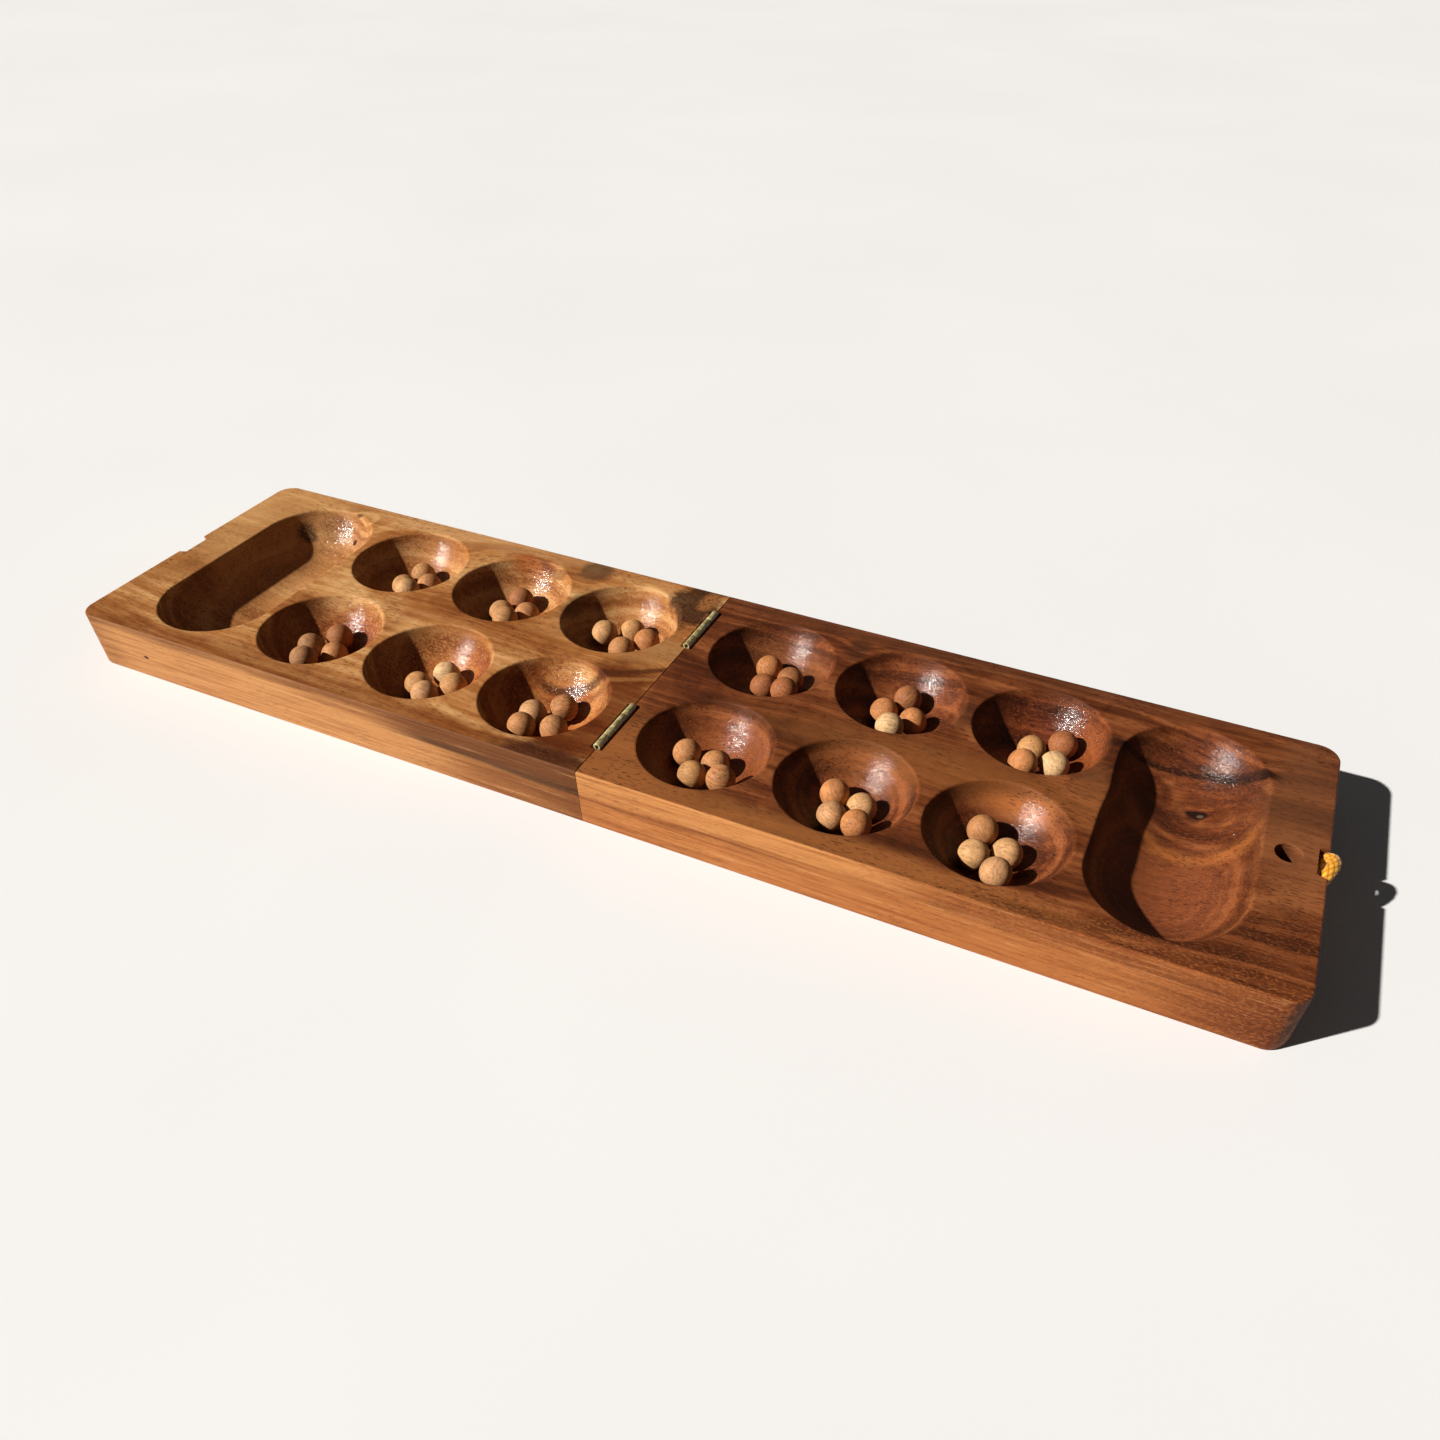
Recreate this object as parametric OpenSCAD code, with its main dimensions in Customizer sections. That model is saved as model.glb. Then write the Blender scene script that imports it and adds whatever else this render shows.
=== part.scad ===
// Folding mancala board: two wooden halves joined by two brass butt hinges.
// Each half holds six round pits and one store, and four wooden seeds lie in each pit.
// Millimetres. The origin is on the table under the fold, midway between the long edges:
// +X runs to the end with the closure cord, +Y to the rear row of pits, +Z up.

/* [Board] */
// Length of the board when it lies open
board_length = 447; // [440:1:460]
// Width across the two rows of pits
board_width = 115; // [113:0.5:120]
// Thickness of each half
board_height = 22; // [20:0.5:26]
// Radius of the outer corners, seen from above
corner_radius = 7; // [2:0.5:12]
// Radius along the lower edge of each outer end
underside_radius = 2.5; // [1:0.5:4]
// Gap between the butted end faces at the fold
seam_gap = 0.3; // [0.2:0.1:0.6]

/* [Pits] */
// Diameter of a pit at the playing face
pit_diameter = 46; // [42:0.5:47]
// Depth of a pit at its centre
pit_depth = 15.8; // [14:0.1:16.5]
// Distance between pit centres along a row
pit_pitch = 49.6; // [49:0.1:50]
// Distance from the fold to the first pit centre
first_pit_x = 31.6; // [31:0.1:33]
// Distance from the centre line to a row of pits
row_y = 26.6; // [25:0.1:28]

/* [Stores] */
// Width of a store along the board
store_width = 47.4; // [40:0.1:49]
// Length of a store across the board
store_length = 99; // [90:0.5:101]
// Depth of a store along its middle
store_depth = 16; // [14:0.1:16.5]
// Distance from the fold to the middle of a store
store_x = 180.7; // [180:0.1:182]

/* [Hinges] */
// Length of a hinge barrel
barrel_length = 24.2; // [22:0.1:28]
// Outer diameter of the barrel
barrel_diameter = 2.6; // [2.4:0.1:3]
// Diameter of the hinge pin
pin_diameter = 1.3; // [1.1:0.05:1.4]
// Distance from the centre line to the middle of a hinge
hinge_y = 31.8; // [28:0.1:38]
// Height of the hinge axis above the playing face
axis_lift = 0.2; // [0.1:0.05:0.5]
// Thickness of a hinge leaf
leaf_thickness = 0.7; // [0.6:0.05:0.9]
// How far a leaf reaches below the playing face
leaf_depth = 10; // [9:0.5:12]

/* [Closure] */
// Diameter of the closure cord
cord_diameter = 3; // [2.6:0.1:3]
// Width of an end notch at the end face
notch_mouth = 14; // [13.6:0.1:15]
// Width of an end notch at its floor
notch_floor = 11.4; // [11:0.1:12]
// Depth of an end notch
notch_depth = 3.2; // [3:0.1:4]
// Diameter of the knot hole in the playing face
knot_hole_diameter = 8; // [7.8:0.1:9]
// Distance from the fold to the knot hole
knot_hole_x = 212.1; // [211:0.1:213]

/* [Seeds] */
// Diameter of a seed
seed_diameter = 10; // [9:0.1:10]
// Gap between a seed and the wall of its pit
seed_seat_gap = 0.2; // [0.1:0.05:0.3]

/* [Hidden] */
$fn = 64;
half_length = board_length / 2;
half_width = board_width / 2;
seam_x = seam_gap / 2;
slack = 1;

pit_radius = pit_diameter / 2;
pit_ball = (pit_radius * pit_radius + pit_depth * pit_depth) / (2 * pit_depth);
store_radius = store_width / 2;
store_ball = (store_radius * store_radius + store_depth * store_depth) / (2 * store_depth);
store_end_y = store_length / 2 - store_radius;

axis_z = board_height + axis_lift;
barrel_radius = barrel_diameter / 2;
pin_radius = pin_diameter / 2;
bore_radius = pin_radius + 0.05;
pin_recess = 0.8;
knuckle_half = 6;
knuckle_gap = 0.2;
knuckle_clearance = 0.3;
leaf_back = seam_x + leaf_thickness;
pocket_half_x = 2.4;
pocket_end = 0.8;
pocket_depth = 1.6;
mortise_edge = 0.05;

screw_offsets = [-8, 8];
screw_drop = 5.8;
screw_length = 7;
screw_radius = 0.85;
screw_tip = 1.4;
head_radius = 1.6;
screw_gap = 0.05;

notch_x = half_length - notch_depth;
leg_y = 1.7;
leg_z = 12;
leg_bore_radius = cord_diameter / 2 + 0.1;
knot_floor_z = 7;
knot_radius = 3.6;
cord_sides = 8;
// A direction that the cord never runs along, which keeps its rings from twisting.
cord_reference = [0.6, -0.8, 0];

catch_z = 11;
catch_shank_radius = 1;
catch_shank_length = 9;
catch_head_radius = 2.6;
catch_head_depth = 1.1;
catch_dome_ball = 4;

// The cord: out of the knot, through the near leg hole, round the loop and back.
cord_route = [
    [212.1, -1.2, 11.6], [214, -1.6, 11.9], [217, -1.7, 12], [220.2, -1.7, 12],
    [221.6, -2.2, 12.9], [222.3, -3.1, 14.6], [222.6, -3.8, 16.6], [223.0, -3.6, 18.5],
    [223.7, -2.2, 19.8], [224.5, -0.2, 20.4], [225.0, 1.8, 20.5], [225.1, 3.6, 20.3],
    [224.6, 4.8, 19.9], [223.4, 5.2, 19.2], [222.3, 4.7, 18.2], [221.9, 3.6, 16.8],
    [221.9, 2.7, 15.2], [221.7, 2.1, 13.7], [221.1, 1.8, 12.5], [220.0, 1.7, 12],
    [217, 1.7, 12], [214, 1.6, 11.9], [212.1, 1.2, 11.6]
];

// Where the four seeds of each pit lie, from the pit's middle along X and Y.
front_seed_plans = [
    [[-6.8, -1.5], [-0.7, 7.6], [0.3, -12.4], [4.6, -1.7]],
    [[-4.1, -3.9], [4.8, -10.7], [1.8, 5.3], [11.9, -3.1]],
    [[-5.8, -0.9], [-2.5, -12.1], [2.8, 6.1], [7.6, -7.6]],
    [[-8.3, 1.6], [2.1, 2], [-1.9, -7.4], [9.3, -8.2]],
    [[-4.9, 4.4], [-2, -5.8], [5.4, 1.9], [7.7, -9.7]],
    [[-5.5, 6.9], [-5.2, -3.6], [4, 1.6], [3.6, -11.3]]
];
rear_seed_plans = [
    [[-0.4, 5.9], [-2.2, -4.4], [8.3, -1.2], [5.6, -11.1]],
    [[-3.8, -4.2], [3.4, -11.5], [-1.7, 6.5], [6.6, -1.8]],
    [[-7.9, -0.5], [1, 5.7], [5.2, -10], [11.9, -2.2]],
    [[-3.5, 5.6], [6.6, 1.8], [-1, -5.4], [8.7, -8.7]],
    [[-5.4, -0.6], [0.5, -12.3], [0.5, 8.3], [5.8, -2.1]],
    [[-1.8, 1.4], [7.7, 5.4], [-2.1, -12.2], [7.6, -7.3]]
];

rows = ["front", "rear"];
pits = [1 : 6];
seeds = [1 : 4];

function seed_name(row, pit, seed) = str("seed_", row, "_", pit, "_", seed);

function pit_x(pit) =
    pit <= 3 ? -first_pit_x - (3 - pit) * pit_pitch : first_pit_x + (pit - 4) * pit_pitch;
function row_sign(row) = row == "front" ? -1 : 1;
function seed_plan(row, pit, seed) =
    (row == "front" ? front_seed_plans : rear_seed_plans)[pit - 1][seed - 1];
function seat_drop(away) =
    sqrt(pow(pit_ball - seed_diameter / 2 - seed_seat_gap, 2) - away * away);
function seed_centre(row, pit, seed) =
    let (p = seed_plan(row, pit, seed))
    [
        pit_x(pit) + p[0],
        row_sign(row) * row_y + p[1],
        board_height - pit_depth + pit_ball - seat_drop(norm(p))
    ];

// Half-board outline on the +X side of the fold, with rounded outer corners.
module half_outline() {
    reach = half_length - corner_radius;
    side = half_width - corner_radius;
    translate([seam_x, -half_width])
        square([reach - seam_x, board_width]);
    translate([seam_x, -side])
        square([half_length - seam_x, 2 * side]);
    for (s = [-1, 1])
        translate([reach, s * side])
            circle(corner_radius);
}

// Side profile of a half: the lower edge of its outer end is rounded.
module end_profile() {
    square([half_length - underside_radius, board_height]);
    translate([0, underside_radius])
        square([half_length, board_height - underside_radius]);
    translate([half_length - underside_radius, underside_radius])
        circle(underside_radius);
}

module pit_hollow(x, y) {
    translate([x, y, board_height - pit_depth + pit_ball])
        sphere(pit_ball, $fn = 96);
}

// A long bowl: a round trough across the board with a ball at each end.
module store_hollow() {
    translate([store_x, 0, board_height - store_depth + store_ball]) {
        rotate([90, 0, 0])
            cylinder(r = store_ball, h = 2 * store_end_y, center = true, $fn = 96);
        for (s = [-1, 1])
            translate([0, s * store_end_y, 0])
                sphere(store_ball, $fn = 96);
    }
}

module notch_hollow() {
    translate([0, 0, -slack])
        linear_extrude(board_height + 2 * slack)
            polygon([
                [notch_x, -notch_floor / 2], [notch_x, notch_floor / 2],
                [half_length, notch_mouth / 2], [half_length + slack, notch_mouth / 2],
                [half_length + slack, -notch_mouth / 2], [half_length, -notch_mouth / 2]
            ]);
}

// Barrel pocket, leaf mortise and screw holes in a half's butted end face.
module hinge_seat(y) {
    pocket_half_y = barrel_length / 2 + pocket_end;
    mortise_half_y = barrel_length / 2 + mortise_edge;
    translate([-slack, y - pocket_half_y, board_height - pocket_depth])
        cube([pocket_half_x + slack, 2 * pocket_half_y, pocket_depth + slack]);
    translate([-slack, y - mortise_half_y, board_height - leaf_depth - mortise_edge])
        cube([leaf_back + slack, 2 * mortise_half_y, leaf_depth + slack]);
    for (dy = screw_offsets)
        translate([0, y + dy, board_height - screw_drop])
            rotate([0, 90, 0])
                cylinder(r = screw_radius + screw_gap, h = screw_length + slack, $fn = 24);
}

// One half without what is particular to its end.
module plain_half() {
    difference() {
        intersection() {
            linear_extrude(board_height)
                half_outline();
            rotate([90, 0, 0])
                linear_extrude(board_width + 2 * slack, center = true)
                    end_profile();
        }
        for (pit = [4 : 6], row = rows)
            pit_hollow(pit_x(pit), row_sign(row) * row_y);
        store_hollow();
        notch_hollow();
        for (s = [-1, 1])
            hinge_seat(s * hinge_y);
    }
}

module left_half() {
    color("peru")
        difference() {
            mirror([1, 0, 0])
                plain_half();
            translate([-notch_x - slack / 4, 0, catch_z])
                rotate([0, 90, 0])
                    cylinder(
                        r = catch_shank_radius + screw_gap,
                        h = catch_shank_length - notch_depth + slack,
                        $fn = 24
                    );
        }
}

module right_half() {
    color("sienna")
        difference() {
            plain_half();
            translate([knot_hole_x, 0, knot_floor_z])
                cylinder(d = knot_hole_diameter, h = board_height);
            for (s = [-1, 1])
                translate([knot_hole_x, s * leg_y, leg_z])
                    rotate([0, 90, 0])
                        cylinder(r = leg_bore_radius, h = half_length - knot_hole_x, $fn = 32);
        }
}

// A tube along the hinge axis between two distances from the hinge's middle.
module along_axis(r, y0, y1) {
    translate([0, y1, axis_z])
        rotate([90, 0, 0])
            cylinder(r = r, h = y1 - y0);
}

// Stretches of the barrel: the middle knuckle, or the two outer ones.
function knuckle_spans(outer, gap) =
    outer
    ? [[-barrel_length / 2, -knuckle_half - gap / 2], [knuckle_half + gap / 2, barrel_length / 2]]
    : [[-knuckle_half + gap / 2, knuckle_half - gap / 2]];

// A leaf on the +X side. It carries the outer knuckles or the middle one.
module leaf_plus_x(outer) {
    leaf_half_y = barrel_length / 2;
    difference() {
        union() {
            translate([seam_x, -leaf_half_y, board_height - leaf_depth])
                cube([leaf_thickness, 2 * leaf_half_y, leaf_depth + axis_lift]);
            for (span = knuckle_spans(outer, knuckle_gap))
                along_axis(barrel_radius, span[0], span[1]);
        }
        for (span = knuckle_spans(!outer, -knuckle_gap))
            along_axis(barrel_radius + knuckle_clearance, span[0], span[1]);
        along_axis(bore_radius, -leaf_half_y - slack, leaf_half_y + slack);
        for (dy = screw_offsets)
            translate([seam_x, dy, board_height - screw_drop])
                rotate([0, 90, 0])
                    cylinder(
                        r1 = head_radius + screw_gap,
                        r2 = head_radius + screw_gap - leaf_thickness,
                        h = leaf_thickness
                    );
    }
}

module left_leaf(y) {
    color("goldenrod")
        translate([0, y, 0])
            mirror([1, 0, 0])
                leaf_plus_x(true);
}

module right_leaf(y) {
    color("goldenrod")
        translate([0, y, 0])
            leaf_plus_x(false);
}

module hinge_pins() {
    pin_half = barrel_length / 2 - pin_recess;
    color("darkgoldenrod")
        for (s = [-1, 1])
            translate([0, s * hinge_y, 0])
                along_axis(pin_radius, -pin_half, pin_half);
}

// Countersunk wood screw along +X, with its head flush with the leaf.
module leaf_screw() {
    cylinder(r1 = head_radius, r2 = head_radius - leaf_thickness, h = leaf_thickness);
    cylinder(r = screw_radius, h = screw_length - screw_tip, $fn = 24);
    translate([0, 0, screw_length - screw_tip])
        cylinder(r1 = screw_radius, r2 = 0.2, h = screw_tip, $fn = 24);
}

module leaf_screws_plus_x() {
    for (s = [-1, 1], dy = screw_offsets)
        translate([seam_x, s * hinge_y + dy, board_height - screw_drop])
            rotate([0, 90, 0])
                leaf_screw();
}

module left_leaf_screws() {
    color("goldenrod")
        mirror([1, 0, 0])
            leaf_screws_plus_x();
}

module right_leaf_screws() {
    color("goldenrod")
        leaf_screws_plus_x();
}

// Round-headed stud in the left notch, which the stretched cord hooks over.
module catch_stud() {
    head_face = half_length - 0.2;
    shank_start = head_face - catch_shank_length;
    color("goldenrod")
        translate([0, 0, catch_z])
            rotate([0, -90, 0]) {
                translate([0, 0, shank_start])
                    cylinder(
                        r = catch_shank_radius,
                        h = catch_shank_length - catch_head_depth + 0.1,
                        $fn = 24
                    );
                intersection() {
                    translate([0, 0, head_face - catch_dome_ball])
                        sphere(catch_dome_ball);
                    translate([0, 0, head_face - catch_head_depth])
                        cylinder(r = catch_head_radius, h = catch_head_depth);
                }
            }
}

// Direction of the cord at one of its points, and two directions square to it.
function unit(v) = v / norm(v);
function cord_heading(i) =
    unit(cord_route[min(i + 1, len(cord_route) - 1)] - cord_route[max(i - 1, 0)]);
function cord_side(i) = unit(cross(cord_heading(i), cord_reference));
function cord_up(i) = cross(cord_side(i), cord_heading(i));
function cord_ring(i) = [
    for (k = [0 : cord_sides - 1])
        cord_route[i] + cord_diameter / 2
            * (cos(360 * k / cord_sides) * cord_side(i) + sin(360 * k / cord_sides) * cord_up(i))
];

// The cord's loop and the two legs that run into the board.
module closure_cord() {
    rings = len(cord_route);
    color("orange")
        polyhedron(
            points = [for (i = [0 : rings - 1]) each cord_ring(i)],
            faces = concat(
                [[for (k = [0 : cord_sides - 1]) k]],
                [
                    for (i = [0 : rings - 2], k = [0 : cord_sides - 1])
                        let (a = i * cord_sides, b = (k + 1) % cord_sides)
                        [a + k, a + cord_sides + k, a + cord_sides + b, a + b]
                ],
                [[for (k = [cord_sides - 1 : -1 : 0]) (rings - 1) * cord_sides + k]]
            )
        );
}

// The knot that ties the cord's two ends at the bottom of the knot hole.
module closure_knot() {
    color("orange")
        translate([knot_hole_x, 0, knot_floor_z + knot_radius])
            sphere(knot_radius, $fn = 32);
}

module seed_ball(row, pit, seed) {
    color("burlywood")
        translate(seed_centre(row, pit, seed))
            sphere(d = seed_diameter, $fn = 48);
}

left_half();
right_half();
left_leaf(-hinge_y);  // front_left_hinge_leaf
right_leaf(-hinge_y);  // front_right_hinge_leaf
left_leaf(hinge_y);  // rear_left_hinge_leaf
right_leaf(hinge_y);  // rear_right_hinge_leaf
hinge_pins();
left_leaf_screws();
right_leaf_screws();
closure_cord();
closure_knot();
catch_stud();
for (row = rows, pit = pits, seed = seeds)
    seed_ball(row, pit, seed);
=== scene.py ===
import math
import random

import bmesh
import bpy
import numpy as np
from mathutils import Matrix, Vector
from mathutils.geometry import delaunay_2d_cdt


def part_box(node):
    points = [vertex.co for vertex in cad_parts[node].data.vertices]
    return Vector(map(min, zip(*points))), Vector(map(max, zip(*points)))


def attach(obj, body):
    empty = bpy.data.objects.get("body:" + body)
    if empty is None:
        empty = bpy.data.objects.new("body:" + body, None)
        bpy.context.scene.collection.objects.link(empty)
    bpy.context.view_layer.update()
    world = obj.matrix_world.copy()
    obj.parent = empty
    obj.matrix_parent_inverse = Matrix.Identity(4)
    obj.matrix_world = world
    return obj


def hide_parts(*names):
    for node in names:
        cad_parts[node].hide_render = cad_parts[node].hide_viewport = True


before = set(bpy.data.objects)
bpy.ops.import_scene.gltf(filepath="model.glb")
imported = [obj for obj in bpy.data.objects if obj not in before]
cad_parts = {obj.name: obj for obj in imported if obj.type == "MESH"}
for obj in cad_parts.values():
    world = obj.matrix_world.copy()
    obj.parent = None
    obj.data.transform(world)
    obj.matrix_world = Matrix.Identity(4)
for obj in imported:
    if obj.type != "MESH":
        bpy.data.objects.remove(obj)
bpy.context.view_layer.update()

MM = 0.001

# ---- dimensions, in millimetres
HALF_LENGTH, HALF_WIDTH, HEIGHT = 223.5, 57.5, 22.0
LEAF_SEAM, WOOD_SEAM = 0.15, 0.08  # half the gap between the hinge leaves, and between the halves
CORNER_R = 7.0
PIT_R, PIT_DEPTH, PIT_PITCH, FIRST_PIT, ROW_Y = 23.0, 15.8, 49.6, 31.6, 26.6
STORE_R, STORE_DEPTH, STORE_X, STORE_END = 23.7, 16.0, 180.7, 25.8
RIM_EASE, EDGE_R = 0.75, 0.6
HINGE_Y, BARREL, AXIS_Z = 31.8, 24.2, 22.2
LEAF_HALF, LEAF_LOW, LEAF_TOP, LEAF_THICK = 12.1, HEIGHT - 10, 20.55, 0.7
SCREW_Z, SCREW_SPOTS = HEIGHT - 5.8, (-8, 8)
NOTCH_X, STUD_Z = 220.3, 11
KNOT_HOLE_X, KNOT_HOLE_R = 212.1, 4
CORD_Y, CORD_Z = 1.7, 12
PIT_BALL = (PIT_R ** 2 + PIT_DEPTH ** 2) / (2 * PIT_DEPTH)
STORE_BALL = (STORE_R ** 2 + STORE_DEPTH ** 2) / (2 * STORE_DEPTH)


def link(name, data):
    """A new object in the scene."""
    ob = bpy.data.objects.new(name, data)
    bpy.context.scene.collection.objects.link(ob)
    return ob


# ---- camera
def make_camera():
    """The photo's own camera, from a fit to the board's edges, pits, stores and hinges."""
    data = bpy.data.cameras.new("camera")
    data.sensor_width = 36
    data.lens = 26.885
    data.shift_x = -0.0297
    data.shift_y = 0.0712
    data.clip_start, data.clip_end = 0.02, 30
    cam = link("camera", data)
    right = Vector((0.908693, 0.417466, 0))
    down = Vector((0.289163, -0.629408, -0.721270))
    ahead = Vector((-0.301102, 0.655415, -0.692654))
    turn = Matrix((right, -down, -ahead)).transposed()
    cam.matrix_world = Matrix.Translation(Vector((163.65, -268.96, 249.75)) * MM) @ turn.to_4x4()
    bpy.context.scene.camera = cam


make_camera()
bpy.context.scene.view_settings.view_transform = "Standard"


# ---- small mesh helpers
def shade_smooth(me):
    me.polygons.foreach_set("use_smooth", [True] * len(me.polygons))


def new_object(name, verts, faces):
    """A mesh object from millimetre vertices."""
    me = bpy.data.meshes.new(name)
    me.from_pydata([(x * MM, y * MM, z * MM) for x, y, z in verts], [], faces)
    me.validate()
    shade_smooth(me)
    return link(name, me)


def outward(ob):
    """Turns every face outwards."""
    bm = bmesh.new()
    bm.from_mesh(ob.data)
    bmesh.ops.recalc_face_normals(bm, faces=bm.faces)
    bm.to_mesh(ob.data)
    bm.free()


def join(name, parts):
    """One object from several [verts, faces] lists."""
    verts, faces = [], []
    for v, f in parts:
        base = len(verts)
        verts += [tuple(p) for p in v]
        faces += [[base + i for i in face] for face in f]
    ob = new_object(name, verts, faces)
    outward(ob)
    return ob


BOX_FACES = [(0, 1, 3, 2), (4, 6, 7, 5), (0, 4, 5, 1), (2, 3, 7, 6), (0, 2, 6, 4), (1, 5, 7, 3)]


def box_part(low, high):
    """A box as verts and faces."""
    (x0, y0, z0), (x1, y1, z1) = low, high
    return [(x, y, z) for x in (x0, x1) for y in (y0, y1) for z in (z0, z1)], BOX_FACES


def lathe_part(start, axis, profile, sides):
    """A turned solid: profile is a list of (distance along axis, radius)."""
    axis = Vector(axis).normalized()
    side = axis.orthogonal().normalized()
    up = axis.cross(side)
    v, f = [], []
    for along, r in profile:
        for k in range(sides):
            a = 2 * math.pi * k / sides
            v.append(Vector(start) + axis * along + (side * math.cos(a) + up * math.sin(a)) * r)
    for i in range(len(profile) - 1):
        for k in range(sides):
            n = (k + 1) % sides
            f.append((i * sides + k, i * sides + n, (i + 1) * sides + n, (i + 1) * sides + k))
    f.append(tuple(range(sides)))
    f.append(tuple((len(profile) - 1) * sides + k for k in range(sides)))
    return v, f


def cut(ob, cutter):
    """Takes the cutter out of the object and removes it."""
    mod = ob.modifiers.new("cut", "BOOLEAN")
    mod.operation, mod.object, mod.solver = "DIFFERENCE", cutter, "EXACT"
    depsgraph = bpy.context.evaluated_depsgraph_get()
    me = bpy.data.meshes.new_from_object(ob.evaluated_get(depsgraph))
    ob.modifiers.remove(mod)
    ob.data = me
    bpy.data.objects.remove(cutter)


def crease(ob, degrees=35):
    """Smooth shading with sharp edges, and flat shading on the playing face."""
    me = ob.data
    shade_smooth(me)
    me.set_sharp_from_angle(angle=math.radians(degrees))
    for p in me.polygons:
        if abs(p.normal.z) > 0.99999 and p.center.z > (HEIGHT - 0.1) * MM:
            p.use_smooth = False


# ---- the halves
def half_outline():
    """Plan of the +X half, counter-clockwise, with fine steps round its outer corners."""
    pts = []
    reach, side = HALF_LENGTH - CORNER_R, HALF_WIDTH - CORNER_R

    def corner(start, cy):
        for i in range(13):
            a = start + math.pi / 2 * i / 12
            pts.append((reach + CORNER_R * math.cos(a), cy + CORNER_R * math.sin(a)))

    for i in range(37):
        pts.append((WOOD_SEAM + (reach - WOOD_SEAM) * i / 37, -HALF_WIDTH))
    corner(-math.pi / 2, -side)
    for i in range(1, 18):
        pts.append((HALF_LENGTH, -side + 2 * side * i / 18))
    corner(0, side)
    for i in range(1, 38):
        pts.append((reach - (reach - WOOD_SEAM) * i / 37, HALF_WIDTH))
    for i in range(1, 20):
        pts.append((WOOD_SEAM, HALF_WIDTH - 2 * HALF_WIDTH * i / 20))
    return [Vector(p) for p in pts]


def inset(pts, seam, long_side, end):
    """The outline moved inwards, by a different distance at the seam, the long sides and the end."""
    out, n = [], len(pts)
    for i in range(n):
        moved = []
        for a, b in ((pts[i - 1], pts[i]), (pts[i], pts[(i + 1) % n])):
            d = (b - a).normalized()
            inward = Vector((-d.y, d.x))
            if inward.x > 0.99:
                dist = seam
            else:
                share = max(0.0, -inward.x) ** 2
                dist = long_side + (end - long_side) * share
            moved.append((inward, dist))
        (m1, d1), (m2, d2) = moved
        cross = m1.x * m2.y - m1.y * m2.x
        if abs(cross) < 0.02:
            off = (m1 + m2).normalized() * (d1 + d2) / 2
        else:
            off = Vector(((d1 * m2.y - d2 * m1.y) / cross, (m1.x * d2 - m2.x * d1) / cross))
        out.append(pts[i] + off)
    return out


def pit_loop(cx, cy, sides=112):
    """A function that gives the pit's ring of radius r."""
    def ring(r):
        return [(cx + r * math.cos(2 * math.pi * k / sides), cy + r * math.sin(2 * math.pi * k / sides))
                for k in range(sides)]
    return ring


def store_loop(cx, waist, arc=56, straight=22):
    """The same for a store; waist is how far its fold-side edge bows inwards near the middle."""
    def ring(r):
        pts = []
        for start, end in ((0, STORE_END), (math.pi, -STORE_END)):
            for k in range(arc):
                a = start + math.pi * k / arc
                pts.append((r * math.cos(a), end + r * math.sin(a)))
            pts += [(math.copysign(r, -end), end - 2 * end * k / straight) for k in range(straight)]
        out = []
        for x, y in pts:
            bow = waist * math.exp(-((y - 7) / 9) ** 2) + 0.35 * waist * math.exp(-((y + 20) / 12) ** 2)
            out.append((cx + x + bow * max(0.0, -x / STORE_R), y))
        return out
    return ring


def bowl_rows(ball, rim, depth, steps=26):
    """(ring radius, height) from the playing face, round the eased rim, to near the bowl's lowest point."""
    zc = HEIGHT - depth + ball
    second = math.asin(rim / ball) - RIM_EASE / ball
    p0, p1 = (rim + RIM_EASE, HEIGHT), (rim, HEIGHT)
    p2 = (ball * math.sin(second), zc - ball * math.cos(second))
    rows = []
    for t in (0, 0.2, 0.4, 0.6, 0.8, 1):
        rows.append(tuple((1 - t) ** 2 * a + 2 * t * (1 - t) * b + t * t * c for a, b, c in zip(p0, p1, p2)))
    for i in range(1, steps):
        a = second * (1 - i / steps)
        rows.append((ball * math.sin(a), zc - ball * math.cos(a)))
    return rows


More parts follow.
